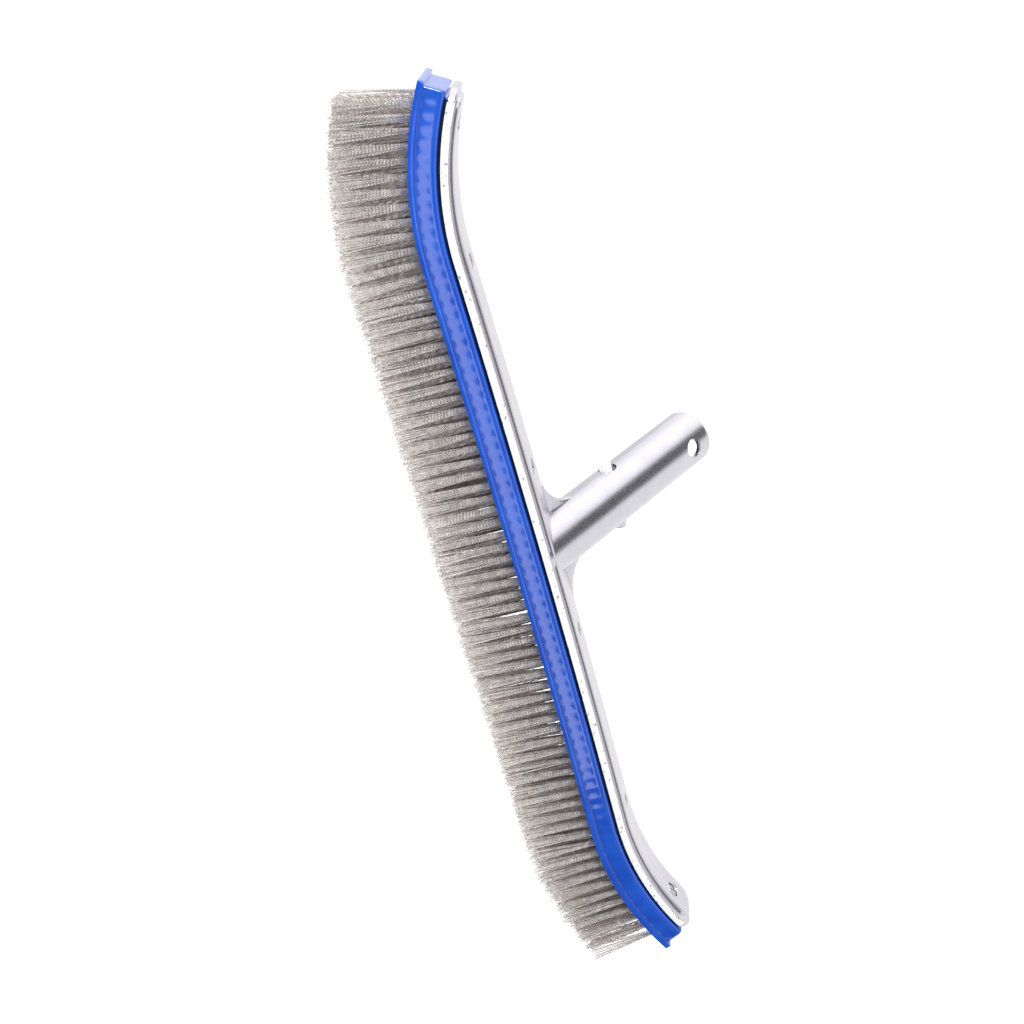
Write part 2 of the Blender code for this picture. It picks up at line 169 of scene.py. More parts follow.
# Ring mark on the back
RING_MARK_STATION = 214.0 * MM
RING_MARK_RADIUS = 4.8 * MM
RING_MARK_SECTION = 0.3 * MM

# Camera
CAMERA_PLACE = (-0.31367, -0.69189, 0.16875)
CAMERA_TARGET = (-0.02390, 0.0, 0.04117)
CAMERA_ROLL = math.radians(77.58)
CAMERA_LENS = 56.7
CAMERA_SENSOR = 36.0

# Steps round the plan of the block and the back
SIDE_COUNT = 291
CORNER_COUNT = 5
END_COUNT = 6

# Angles in degrees below which shading is smooth
BAR_SMOOTH_ANGLE = 35.0
TURNED_SMOOTH_ANGLE = 30.0

rng = np.random.default_rng(7)


# ---------------------------------------------------------------- lengthwise curve

def path_heading(s):
    """Slope angle of the bristle face at arc length |s|; negative in the bowed middle."""
    bow = np.minimum(np.abs(s), CURL_START) / BOW_RADIUS
    return -bow + np.maximum(np.abs(s) - CURL_START, 0.0) / CURL_RADIUS


def path_xz(s, height=0.0):
    """X and Z above the face's middle, at arc length s and a height along the face's normal."""
    size = np.abs(s)
    bow = np.minimum(size, CURL_START) / BOW_RADIUS
    heading = path_heading(s)
    curled = size > CURL_START
    start = -CURL_START / BOW_RADIUS
    x = BOW_RADIUS * np.sin(bow)
    x = x + np.where(curled, CURL_RADIUS * (np.sin(heading) - math.sin(start)), 0.0)
    z = BOW_RADIUS * (np.cos(bow) - 1.0)
    z = z + np.where(curled, CURL_RADIUS * (math.cos(start) - np.cos(heading)), 0.0)
    return np.sign(s) * (x - height * np.sin(heading)), z + height * np.cos(heading)


def half_arc_length():
    low, high = CURL_START, OVERALL_LENGTH
    for _ in range(50):
        middle = (low + high) / 2.0
        if path_xz(middle)[0] < OVERALL_LENGTH / 2.0:
            low = middle
        else:
            high = middle
    return low


HALF_ARC = half_arc_length()
FACE_HEIGHT = TUFT_LENGTH - float(path_xz(CURL_START)[1])


def on_path(s, y, height):
    """Points in the row frame for arrays of arc length, Y and height."""
    x, z = path_xz(s, height)
    return np.stack([x, np.broadcast_to(y, x.shape), FACE_HEIGHT + z], axis=-1)


def normal_frame(s, height):
    """Local Z along the outward normal of the back at arc length s."""
    x, z = path_xz(s, height)
    turn = -math.copysign(1.0, s) * float(path_heading(s))
    place = Matrix.Translation((float(x), 0.0, FACE_HEIGHT + float(z)))
    return place @ Matrix.Rotation(turn, 4, "Y")


def handle_frame(station=0.0):
    """Local Z along the handle axis, local X along the brush."""
    base = Matrix.Translation((0.0, 0.0, FACE_HEIGHT + HANDLE_AXIS_HEIGHT))
    lean = Matrix.Rotation(-HANDLE_LEAN, 4, "X")
    return base @ lean @ Matrix.Translation((0.0, 0.0, station))


# ---------------------------------------------------------------- mesh helpers

def new_object(name, data):
    made = bpy.data.objects.new(name, data)
    bpy.context.scene.collection.objects.link(made)
    return made


def mesh_object(name, points, faces, smooth_angle=None):
    """An object from a list of points and faces, shaded smooth below an angle."""
    mesh = bpy.data.meshes.new(name)
    mesh.from_pydata([tuple(p) for p in points], [], [tuple(f) for f in faces])
    mesh.validate()
    outward(mesh)
    shade(mesh, smooth_angle)
    return new_object(name, mesh)


def outward(mesh):
    """Turn every face of a closed mesh to face out."""
    work = bmesh.new()
    work.from_mesh(mesh)
    bmesh.ops.recalc_face_normals(work, faces=work.faces)
    work.to_mesh(mesh)
    work.free()


def shade(mesh, angle):
    mesh.shade_smooth()
    if angle is not None:
        mesh.set_sharp_from_angle(angle=math.radians(angle))


def grid_faces(rows, columns, first=0):
    """Quads between closed rings of points that all have the same count."""
    faces = []
    for row in range(rows - 1):
        for column in range(columns):
            a = first + row * columns + column
            b = first + row * columns + (column + 1) % columns
            faces.append((a, b, b + columns, a + columns))
    return faces


def ring_cap(count, first=0):
    """One face across a ring of points."""
    return tuple(range(first, first + count))


def turned(name, profile, steps, place, smooth_angle=TURNED_SMOOTH_ANGLE):
    """A solid of revolution from (radius, height) points that start and end on local Z."""
    angles = np.linspace(0.0, 2.0 * math.pi, steps, endpoint=False)
    points = []
    for radius, height in profile[1:-1]:
        points += [place @ Vector((radius * math.cos(a), radius * math.sin(a), height))
                   for a in angles]
    rings = len(profile) - 2
    faces = grid_faces(rings, steps)
    for ring, (_, height) in ((0, profile[0]), (rings - 1, profile[-1])):
        centre = len(points)
        points.append(place @ Vector((0.0, 0.0, height)))
        first = ring * steps
        faces += [(centre, first + i, first + (i + 1) % steps) for i in range(steps)]
    return mesh_object(name, points, faces, smooth_angle)


def quarter(radius, steps=4):
    """Points (inset, drop) of a rounded edge, from its side to its top."""
    turns = [math.radians(90.0) * i / steps for i in range(steps + 1)]
    return [(radius * (1.0 - math.cos(t)), radius * (1.0 - math.sin(t))) for t in turns]


def cut(target, *cutters):
    """Subtract other objects from a target for good."""
    for cutter in cutters:
        boolean = target.modifiers.new("cut", "BOOLEAN")
        boolean.operation = "DIFFERENCE"
        boolean.solver = "EXACT"
        boolean.object = cutter
    bpy.context.view_layer.update()
    evaluated = target.evaluated_get(bpy.context.evaluated_depsgraph_get())
    mesh = bpy.data.meshes.new_from_object(evaluated)
    target.modifiers.clear()
    target.data = mesh
    for cutter in cutters:
        bpy.data.objects.remove(cutter)


# ---------------------------------------------------------------- loops round the plan

def plan_loop(reach, half_width, corner):
    """Points (s, y) round a rounded rectangle, mirrored about Y = 0, as two arrays."""
    corner = min(corner, 0.98 * half_width)
    side = np.linspace(-1.0, 1.0, SIDE_COUNT) * (reach - corner)
    end = np.linspace(1.0, -1.0, 2 * END_COUNT + 1)[1:-1] * (half_width - corner)
    turn = np.radians(np.linspace(90.0, 0.0, CORNER_COUNT + 1))[1:]
    s = [side, reach - corner + corner * np.cos(turn), np.full(end.shape, reach)]
    y = [np.full(side.shape, half_width), half_width - corner + corner * np.sin(turn), end]
    s += [s[1][::-1], side[::-1], -s[1], -s[2], -s[1][::-1]]
    y += [-y[1][::-1], -y[0], -y[1], -y[2], y[1][::-1]]
    return np.concatenate(s), np.concatenate(y)


PLAN_COUNT = len(plan_loop(0.2, 0.01, 0.001)[0])
PLAN_MIDDLE = SIDE_COUNT + CORNER_COUNT + END_COUNT - 1


def plan_cap(first):
    """Faces that close one loop, in strips across it."""
    def at(i):
        return first + i % PLAN_COUNT

    middle = PLAN_MIDDLE
    faces = [(at(middle), at(middle + 1), at(middle - 1))]
    half = PLAN_COUNT // 2
    for i in range(1, half - 1):
        faces.append((at(middle + i), at(middle + i + 1), at(middle - i - 1), at(middle - i)))
    faces.append((at(middle + half - 1), at(middle + half), at(middle - half + 1)))
    return faces


def bar_from_loops(name, loops):
    """A curved bar from loops (end inset, half width, corner, height, sink share)."""
    points = []
    for inset, half_width, corner, height, sink in loops:
        s, y = plan_loop(HALF_ARC - inset, half_width, corner)
        dip = 0.5 + 0.5 * np.cos(2.0 * math.pi * s / TUFT_PITCH)
        y = y - np.sign(y) * sink * SINK_DEPTH * dip
        points.append(on_path(s, y, height))
    faces = grid_faces(len(loops), PLAN_COUNT)
    faces += plan_cap(0) + plan_cap((len(loops) - 1) * PLAN_COUNT)
    return mesh_object(name, np.concatenate(points), faces, BAR_SMOOTH_ANGLE)


# ---------------------------------------------------------------- materials

def node_material(name, base, metallic, roughness):
    """A Principled material and its node tree, ready for patterns."""
    made = bpy.data.materials.new(name)
    made.use_nodes = True
    shader = made.node_tree.nodes["Principled BSDF"]
    shader.inputs["Base Color"].default_value = (*base, 1.0)
    shader.inputs["Metallic"].default_value = metallic
    shader.inputs["Roughness"].default_value = roughness
    return made, made.node_tree, shader


def position(tree, scale=(1.0, 1.0, 1.0)):
    """Object coordinates, stretched."""
    coordinates = tree.nodes.new("ShaderNodeTexCoord")
    mapping = tree.nodes.new("ShaderNodeMapping")
    mapping.inputs["Scale"].default_value = scale
    tree.links.new(coordinates.outputs["Object"], mapping.inputs["Vector"])
    return mapping.outputs["Vector"]


def noise(tree, vector, scale, detail=3.0, roughness=0.55):
    made = tree.nodes.new("ShaderNodeTexNoise")
    made.inputs["Scale"].default_value = scale
    made.inputs["Detail"].default_value = detail
    made.inputs["Roughness"].default_value = roughness
    tree.links.new(vector, made.inputs["Vector"])
    return made.outputs["Fac"]


def ramp(tree, value, stops):
    """Colours or greys along a value."""
    made = tree.nodes.new("ShaderNodeValToRGB")
    elements = made.color_ramp.elements
    while len(elements) < len(stops):
        elements.new(0.5)
    for element, (at, color) in zip(elements, stops):
        element.position = at
        element.color = (*color, 1.0) if isinstance(color, tuple) else (color, color, color, 1.0)
    tree.links.new(value, made.inputs["Fac"])
    return made.outputs["Color"]


def colour_and_roughness(tree, shader, value, colours, roughs):
    """Vary a shader's colour and roughness between two values each, along a pattern."""
    low, high = 0.3, 0.7
    tint = ramp(tree, value, [(low, colours[0]), (high, colours[1])])
    tree.links.new(tint, shader.inputs["Base Color"])
    rough = ramp(tree, value, [(low, roughs[0]), (high, roughs[1])])
    tree.links.new(rough, shader.inputs["Roughness"])


def bump(tree, shader, height, strength, distance):
    made = tree.nodes.new("ShaderNodeBump")
    made.inputs["Strength"].default_value = strength
    made.inputs["Distance"].default_value = distance
    tree.links.new(height, made.inputs["Height"])
    tree.links.new(made.outputs["Normal"], shader.inputs["Normal"])


def polished_casting():
    made, tree, shader = node_material("polished_casting", (0.67, 0.655, 0.71), 1.0, 0.24)
    place = position(tree)
    fine = noise(tree, place, 900.0, 3.0)
    broad = noise(tree, place, 90.0, 4.0)
    tint = ramp(tree, broad, [(0.3, (0.64, 0.625, 0.68)), (0.7, (0.70, 0.685, 0.74))])
    tree.links.new(tint, shader.inputs["Base Color"])
    rough = ramp(tree, fine, [(0.3, 0.20), (0.7, 0.29)])
    tree.links.new(rough, shader.inputs["Roughness"])
    bump(tree, shader, broad, 0.12, 0.15 * MM)
    return made


def rough_casting():
    """As-cast skin: chalky, with small pits."""
    made, tree, shader = node_material("rough_casting", (0.90, 0.90, 0.89), 0.2, 0.5)
    place = position(tree)
    grain = noise(tree, place, 650.0, 4.0, 0.7)
    pits = noise(tree, position(tree, (1.0, 1.0, 1.4)), 420.0, 2.0)
    tint = ramp(tree, pits, [(0.27, (0.22, 0.21, 0.20)), (0.37, (0.93, 0.93, 0.92))])
    tree.links.new(tint, shader.inputs["Base Color"])
    rough = ramp(tree, grain, [(0.3, 0.42), (0.7, 0.62)])
    tree.links.new(rough, shader.inputs["Roughness"])
    bump(tree, shader, grain, 0.5, 0.25 * MM)
    return made


def blue_plastic():
    made, tree, shader = node_material("blue_plastic", (0.005, 0.085, 0.66), 0.0, 0.16)
    shader.inputs["IOR"].default_value = 1.6
    shader.inputs["Coat Weight"].default_value = 0.6
    shader.inputs["Coat Roughness"].default_value = 0.08
    broad = noise(tree, position(tree), 60.0, 3.0)
    colours = ((0.002, 0.056, 0.43), (0.005, 0.084, 0.53))
    colour_and_roughness(tree, shader, broad, colours, (0.11, 0.18))
    bump(tree, shader, broad, 0.12, 0.2 * MM)
    return made


def blue_painted_shade():
    """Nearly black, dull blue on the sides of the block's tongue: painted shade for the gap under
    the cast back.
    """
    made, tree, shader = node_material("blue_painted_shade", (0.001, 0.006, 0.035), 0.0, 0.6)
    shade_mottle = noise(tree, position(tree), 250.0, 3.0)
    colours = ((0.001, 0.005, 0.028), (0.002, 0.009, 0.045))
    colour_and_roughness(tree, shader, shade_mottle, colours, (0.52, 0.7))
    return made


def bristle_steel(name, dark, light, metallic, specular):
    """Wire steel with painted light: bright for the wires painted as lit, nearly black for the
    wires painted as shaded.
    """
    made, tree, shader = node_material(name, light, metallic, 0.34)
    shader.inputs["Specular IOR Level"].default_value = specular
    patches = noise(tree, position(tree), 380.0, 2.0)
    tint = ramp(tree, patches, [(0.35, dark), (0.65, light)])
    tree.links.new(tint, shader.inputs["Base Color"])
    return made


def screw_steel():
    made, tree, shader = node_material("screw_zinc", (0.58, 0.58, 0.60), 1.0, 0.32)
    patches = noise(tree, position(tree), 900.0, 3.0)
    tint = ramp(tree, patches, [(0.3, (0.42, 0.42, 0.44)), (0.7, (0.66, 0.66, 0.68))])
    tree.links.new(tint, shader.inputs["Base Color"])
    bump(tree, shader, patches, 0.2, 0.1 * MM)
    return made


def white_nylon():
    made, tree, shader = node_material("white_nylon", (0.86, 0.87, 0.88), 0.0, 0.36)
    shader.inputs["Subsurface Weight"].default_value = 0.15
    shader.inputs["Subsurface Scale"].default_value = 1.0 * MM
    grain = noise(tree, position(tree), 700.0, 3.0)
    tint = ramp(tree, grain, [(0.3, (0.83, 0.84, 0.86)), (0.7, (0.90, 0.90, 0.91))])
    tree.links.new(tint, shader.inputs["Base Color"])
    bump(tree, shader, grain, 0.12, 0.1 * MM)
    return made


POLISHED = polished_casting()
ROUGH = rough_casting()
BLUE = blue_plastic()
BLUE_PAINTED_SHADE = blue_painted_shade()
# Painted light: a bright copy of the wire steel for wires painted as lit, and a nearly black,
# unreflective copy for wires painted as shaded
STEELS_PAINTED_LIT_AND_SHADED = [bristle_steel("bristle_steel_painted_lit", (0.60, 0.555, 0.535), (0.92, 0.88, 0.85),
                        0.75, 0.5),
          bristle_steel("bristle_steel_painted_shade", (0.003, 0.002, 0.0015), (0.020, 0.015, 0.012),
                        0.0, 0.0)]
ZINC = screw_steel()
NYLON = white_nylon()


def dress(piece, slot, *materials):
    """Give a piece its looks. The slot argument is not used."""
    piece.data.materials.clear()
    for made in materials:
        piece.data.materials.append(made)
    return piece


# ---------------------------------------------------------------- bristle tufts

def tuft_banks():
    """Tufts of each bank as (rank, row), in the order of their CAD nodes."""
    banks = [(0.0, (-1, 0, 1), (-0.5, 0.5))]
    for first in range(2, LAST_RANK, 2):
        outer, inner = (first, first + 1), (first - 0.5, first + 0.5)
        banks.append((first + 0.25, outer, inner))
        banks.append((-first - 0.25, tuple(-k for k in outer), tuple(-k for k in inner)))
    return [[(rank, row) for rank in outer for row in (-2, 0, 2)]
            + [(rank, row) for rank in inner for row in (-1, 1)]
            for _, outer, inner in sorted(banks)]


def tuft_frame(rank, row):
    """Root of a tuft, and its directions up into the block, along the brush and across it."""
    s = rank * TUFT_PITCH
    root = on_path(np.array(s), row * ROW_SPACING, 0.0)
    fan = -math.copysign(1.0, s) * TUFT_FAN * max(float(path_heading(s)), 0.0)
    up = np.array([math.sin(fan), 0.0, math.cos(fan)])
    along = np.array([math.cos(fan), 0.0, -math.sin(fan)])
    return root, up, along, np.array([0.0, 1.0, 0.0])


def wire_lines(rank, row):
    """Centre lines of one tuft's wires, as wires x points x 3, and each wire's place along it."""
    s = rank * TUFT_PITCH
    root, up, along, across = tuft_frame(rank, row)
    outer = abs(row) == OUTER_ROW
    length = root[2] if abs(s) <= CURL_START else TUFT_LENGTH
    depth = WIRE_ROOT_DEPTH
    step = OUTER_CRIMP_STEP if outer else INNER_CRIMP_STEP
    count = math.ceil((length + depth) / step)
    wires = WIRES_PER_TUFT
    turn = GOLDEN_ANGLE * np.arange(wires) + rng.uniform(0.0, 2.0 * math.pi)
    radius = np.sqrt((np.arange(wires) + 0.5) / wires)
    lean = rng.normal(0.0, TUFT_LEAN, 2)
    spread = rng.normal(1.0, SPLAY_SPREAD, wires)
    ends = length - RAGGED * rng.beta(1.3, 2.2, wires) - rng.uniform(0.0, RAGGED_TUFT)
    share = np.linspace(0.0, 1.0, count + 1)
    drop = -depth + share[None, :] * (ends[:, None] + depth)
    bunch = OUTER_BUNCH if outer else INNER_BUNCH
    free = np.clip(drop / length, 0.0, 1.0) ** (OUTER_SPLAY_POWER if outer else INNER_SPLAY_POWER)
    reach = bunch + (WIRE_SPLAY - bunch) * free * spread[:, None]
    u = reach * (radius * np.cos(turn))[:, None] + lean[0] * free
    v = reach * (radius * np.sin(turn))[:, None] + lean[1] * free
    u = u + rng.normal(0.0, WIRE_STRAY, wires)[:, None] * free
    v = v + rng.normal(0.0, WIRE_STRAY, wires)[:, None] * free
    if abs(rank) > LAST_RANK - 2:
        u = np.where(u * s > 0.0, u * END_SPLAY, u / END_SPLAY)
    plane = 0.5 * math.pi + rng.uniform(-CRIMP_TURN, CRIMP_TURN, wires)[:, None]
    wave = CRIMP_HEIGHT * np.where(np.arange(count + 1) % 2 == 0, 1.0, -1.0)[None, :]
    wave = wave * rng.choice(CRIMP_SIGNS, wires)[:, None]
    u = u + wave * np.cos(plane)
    v = v + wave * np.sin(plane)
    lines = root + u[..., None] * along + v[..., None] * across - drop[..., None] * up
    return lines, radius * np.cos(turn)


def wire_mesh(name, tufts):
    """All the wires of a bank as three-sided rods with closed ends."""
    points, sides, side_painted_shading, caps, cap_painted_shading, first = [], [], [], [], [], 0
    n = WIRE_CORNERS
    corners = np.radians(90.0 + 360.0 * np.arange(n) / n)
    for rank, row in tufts:
        lines, side = wire_lines(rank, row)
        _, _, along, across = tuft_frame(rank, row)
        wires, count = lines.shape[:2]
        outer = abs(row) == OUTER_ROW
        thick = OUTER_WIRE_RADIUS if outer else INNER_WIRE_RADIUS
        ring = thick * (np.cos(corners)[:, None] * along + np.sin(corners)[:, None] * across)
        points.append((lines[:, :, None, :] + ring[None, None]).reshape(-1, 3))
        roots = first + np.arange(wires)[:, None] * count * n
        start = roots[:, :, None] + np.arange(count - 1)[None, :, None] * n
        a = start + np.arange(n)[None, None, :]
        b = start + (np.arange(n)[None, None, :] + 1) % n
        sides.append(np.stack([a, a + n, b + n, b], axis=-1).reshape(-1, 4))
        caps.append(roots + np.arange(n)[None, :])
        caps.append(roots + (count - 1) * n + np.arange(n)[None, ::-1])
        # Painted shade: wires on the +X side of each tuft, and nearly all wires in the inner rows,
        # take the nearly black steel; the rest take the bright steel as painted light
        share, slope = OUTER_PAINTED_SHADE_SHARE if outer else INNER_PAINTED_SHADE_SHARE
        dark = rng.uniform(0.0, 1.0, wires) < np.clip(share + slope * side, 0.04, 0.99)
        side_painted_shading.append(np.repeat(dark, (count - 1) * n))
        cap_painted_shading.append(np.tile(dark, 2))
        first += wires * count * n
    points, sides, caps = np.concatenate(points), np.concatenate(sides), np.concatenate(caps)
    totals = np.concatenate([np.full(len(sides), 4), np.full(len(caps), n)])
    used = np.concatenate([sides.ravel(), caps.ravel()])
    painted_shading = np.concatenate(side_painted_shading + cap_painted_shading)
    mesh = bpy.data.meshes.new(name)
    mesh.vertices.add(len(points))
    mesh.vertices.foreach_set("co", points.astype(np.float32).ravel())
    mesh.loops.add(len(used))
    mesh.loops.foreach_set("vertex_index", used.astype(np.int32))
    mesh.polygons.add(len(totals))
    mesh.polygons.foreach_set("loop_start", (np.cumsum(totals) - totals).astype(np.int32))
    mesh.polygons.foreach_set("loop_total", totals.astype(np.int32))
    mesh.polygons.foreach_set("material_index", painted_shading.astype(np.int32))
    mesh.update(calc_edges=True)
    mesh.shade_flat()
    return new_object(name, mesh)


def bristles():
    for number, tufts in enumerate(tuft_banks(), start=1):
        wires = wire_mesh(f"tuft_wires_{number:02d}", tufts)
        dress(wires, "steel_bristle", *STEELS_PAINTED_LIT_AND_SHADED)
        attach(wires, "root")
        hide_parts(f"tuft_bank_{number:02d}")


# ---------------------------------------------------------------- bristle block

def tuft_hole_cutter():
    """Round holes for every tuft, as one cutter."""
    points, faces, steps = [], [], 12
    turns = np.linspace(0.0, 2.0 * math.pi, steps, endpoint=False)
    for rank, row in [tuft for bank in tuft_banks() for tuft in bank]:
        root, up, along, across = tuft_frame(rank, row)
        first = len(points)
        for height in (-3.0 * MM, TUFT_HOLE_DEPTH):
            for t in turns:
                ring = TUFT_HOLE_RADIUS * (math.cos(t) * along + math.sin(t) * across)
                points.append(root + ring + height * up)
        faces += grid_faces(2, steps, first)
        faces += [ring_cap(steps, first)[::-1], ring_cap(steps, first + steps)]
    return mesh_object("tuft_hole_cutter", points, faces)


def seat_height(point):
    """Rough height of a point above the bristle face below it."""
    reach = np.linspace(0.0, HALF_ARC, 200)
    x, z = path_xz(reach)
    return point.z - FACE_HEIGHT - float(np.interp(abs(point.x), x, z))


def bristle_block():
    """Flange, body and tongue of the block, with the flutes beside the tufts and their holes."""
    e = BLOCK_EDGE
    flange, body, tongue = FLANGE_HALF_WIDTH, BODY_HALF_WIDTH, TONGUE_HALF_WIDTH
    end, top = BODY_END_INSET, FLANGE_THICKNESS
    loops = [(e, flange - 1.8 * e, e, 0.0, 0.0)]
    loops += [(e - d, flange - d2, 0.9 * MM, h, 0.0)
              for d, d2, h in ((0.7 * e, 1.1 * e, 0.3 * e), (e, 0.8 * e, e), (e, 0.0, top - e),
                               (0.7 * e, 0.3 * e, top - 0.3 * e), (0.0, e, top))]
    loops += [(end - 0.6 * e, body + 0.6 * e, BLOCK_CORNER, top, 0.0),
              (end, body + 0.1 * e, BLOCK_CORNER, top + 0.6 * e, 0.2)]
    for height, sink in ((4.3, 0.7), (5.6, 1.0), (7.0, 1.0), (8.4, 0.8), (9.3, 0.35), (10.0, 0.1)):
        loops.append((end, body, BLOCK_CORNER, height * MM, sink))
    for drop, inset in ((1.8, 0.06), (1.2, 0.22), (0.7, 0.45), (0.3, 0.75), (0.0, 1.25)):
        loops.append((end + 0.3 * inset * MM, body - inset * MM, BLOCK_CORNER,
                      BODY_TOP - drop * MM, 0.0))
    end = TONGUE_END_INSET
    loops += [(end - 0.3 * e, tongue + 0.3 * e, TONGUE_CORNER, BODY_TOP, 0.0),
              (end, tongue, TONGUE_CORNER, BODY_TOP + e, 0.0),
              (end, tongue, TONGUE_CORNER, TONGUE_TOP - e, 0.0),
              (end + e, tongue - e, TONGUE_CORNER, TONGUE_TOP, 0.0)]
    block = bar_from_loops("bristle_block_moulding", loops)
    cut(block, tuft_hole_cutter())
    shade(block.data, BAR_SMOOTH_ANGLE)
    dress(block, "blue_plastic", BLUE, BLUE_PAINTED_SHADE)
    # Painted shade: the tongue's sides, deep in the gap under the cast back, take the nearly black
    # blue
    for face in block.data.polygons:
        if abs(face.center.y) < TONGUE_HALF_WIDTH + 0.5 * MM and abs(face.normal.y) > 0.9:
            face.material_index = 1 if seat_height(face.center) > BODY_TOP - 0.5 * MM else 0
    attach(block, "root")
    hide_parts("bristle_block")


# ---------------------------------------------------------------- cast back

def screw_seat(number, station):
    """Cutter for one countersunk seat and the screw hole below it."""
    place = normal_frame(station, RIB_TOP)
    wide, narrow = SCREW_HEAD_RADIUS + SCREW_GAP, SCREW_SHANK_RADIUS + SCREW_GAP
    profile = [(0.0, 1.0 * MM), (wide + 1.0 * MM, 1.0 * MM), (wide, -0.35 * MM),
               (wide, -SCREW_SUNK), (narrow, -SCREW_SUNK), (narrow, -5.0 * MM), (0.0, -5.0 * MM)]
    return turned(f"screw_seat_{number}", profile, 32, place)


def back_plate():
    """The skirt with its channel below and the stepped rib above."""
    skirt, rib = SKIRT_HALF_WIDTH, RIB_HALF_WIDTH
    end, rib_end = SKIRT_END_INSET, RIB_END_INSET
    channel_end, channel = TONGUE_END_INSET - CHANNEL_GAP, TONGUE_HALF_WIDTH + CHANNEL_GAP
    ceiling, bevel = TONGUE_TOP + CHANNEL_GAP, 0.2 * MM
    loops = [(channel_end, channel, CHANNEL_CORNER, ceiling, 0.0),
             (channel_end, channel, CHANNEL_CORNER, SKIRT_BOTTOM + bevel, 0.0),
             (channel_end - bevel, channel + bevel, CHANNEL_CORNER, SKIRT_BOTTOM, 0.0)]
    for inset, drop in reversed(quarter(SKIRT_BOTTOM_ROUNDING, 3)):
        loops.append((end + inset, skirt - inset, SKIRT_CORNER - inset, SKIRT_BOTTOM + drop, 0.0))
    for inset, drop in quarter(SKIRT_TOP_ROUNDING, 5):
        loops.append((end + inset, skirt - inset, SKIRT_CORNER - inset, SKIRT_TOP - drop, 0.0))
    for out, rise in ((0.9, 0.0), (0.45, 0.08), (0.15, 0.3), (0.05, 0.7)):
        loops.append((rib_end - out * 0.7 * MM, rib + out * MM, RIB_CORNER,
                      SKIRT_TOP + rise * MM, 0.0))
    for inset, drop in quarter(RIB_ROUNDING, 6):
        loops.append((rib_end + inset, rib - inset, RIB_CORNER - inset, RIB_TOP - drop, 0.0))
    for half_width, rise in ((8.0, 0.03), (5.5, 0.05), (2.5, 0.06)):
        inset = rib_end + rib - half_width * MM
        loops.append((inset, half_width * MM, half_width * 0.6 * MM,
                      RIB_TOP + rise * MM, 0.0))
    plate = bar_from_loops("back_plate", loops)
    cut(plate, *[screw_seat(n, s) for n, s in enumerate(SCREW_STATIONS, start=1)])
    shade(plate.data, BAR_SMOOTH_ANGLE)
    dress(plate, "cast_aluminium", POLISHED, ROUGH)
    for face in plate.data.polygons:
        centre, normal = face.center, face.normal
        if abs(normal.y) > 0.6 and abs(centre.y) > SKIRT_HALF_WIDTH - 0.5 * MM:
            face.material_index = 1
    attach(plate, "root")
    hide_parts("back_casting")


def tube_point(angle, station, radius):
    """Point on the handle tube: angle 90 degrees is its near upper side."""
    return handle_frame() @ Vector((radius * math.cos(angle), -radius * math.sin(angle), station))


def heel_station(angle, height, radius):
    """Station where a line along the tube reaches a height above the bristle face."""
    rise = radius * math.sin(angle) * math.sin(HANDLE_LEAN)
    return (height - HANDLE_AXIS_HEIGHT - rise) / math.cos(HANDLE_LEAN)


def handle_tube():
    """Leaning tube with a blind bore, a cross hole and a hole for each snap button."""
    steps = HANDLE_STEPS
    angles = np.linspace(0.0, 2.0 * math.pi, steps, endpoint=False)
    bottom = SKIRT_BOTTOM + 0.1 * MM
    points = []
    rings = 0
    for inset, drop in reversed(quarter(HANDLE_HEEL_ROUNDING, 5)):
        radius = HANDLE_RADIUS - inset
        points += [tube_point(a, heel_station(a, bottom + drop, radius), radius) for a in angles]
        rings += 1
    last = HANDLE_END - HANDLE_ROUNDING
    for share in np.linspace(0.0, 1.0, 60)[1:]:
        for a in angles:
            foot = heel_station(a, bottom + HANDLE_HEEL_ROUNDING, HANDLE_RADIUS)
            points.append(tube_point(a, foot + (last - foot) * share, HANDLE_RADIUS))
        rings += 1
    for inset, drop in quarter(HANDLE_ROUNDING, 6)[1:]:
        points += [tube_point(a, HANDLE_END - drop, HANDLE_RADIUS - inset) for a in angles]
        rings += 1
    bore = HANDLE_BORE_RADIUS
    for radius, station in ((bore + 0.1 * MM, HANDLE_END - 0.05 * MM),
                            (bore, HANDLE_END - 0.3 * MM), (bore, 100.0 * MM), (bore, 60.0 * MM),
                            (bore, BORE_FLOOR + 1.0 * MM), (bore - 1.0 * MM, BORE_FLOOR)):
        points += [tube_point(a, station, radius) for a in angles]
        rings += 1
    faces = grid_faces(rings, steps)
    faces += [ring_cap(steps), ring_cap(steps, (rings - 1) * steps)]
    tube = mesh_object("handle_tube", points, faces)
    reach = HANDLE_RADIUS + 3.0 * MM
    lip = CROSS_HOLE_LIP
    across = Matrix.Rotation(math.radians(90.0), 4, "X")
    profile = [(0.0, reach), (CROSS_HOLE_RADIUS + 3.0 * lip, reach),
               (CROSS_HOLE_RADIUS, HANDLE_RADIUS - 1.2 * lip)]
    profile += [(r, -h) for r, h in reversed(profile)]
    cross_hole = turned("cross_hole", profile, 48, handle_frame(CROSS_HOLE_STATION) @ across)
    sideways = Matrix.Rotation(math.radians(90.0), 4, "Y")
    hole = BUTTON_HOLE_RADIUS
    profile = [(0.0, reach), (hole, reach), (hole, -reach), (0.0, -reach)]
    button_hole = turned("button_hole", profile, 48, handle_frame(BUTTON_HOLE_STATION) @ sideways)
    cut(tube, cross_hole, button_hole)
    shade(tube.data, TURNED_SMOOTH_ANGLE)
    dress(tube, "cast_aluminium", POLISHED)
    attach(tube, "root")


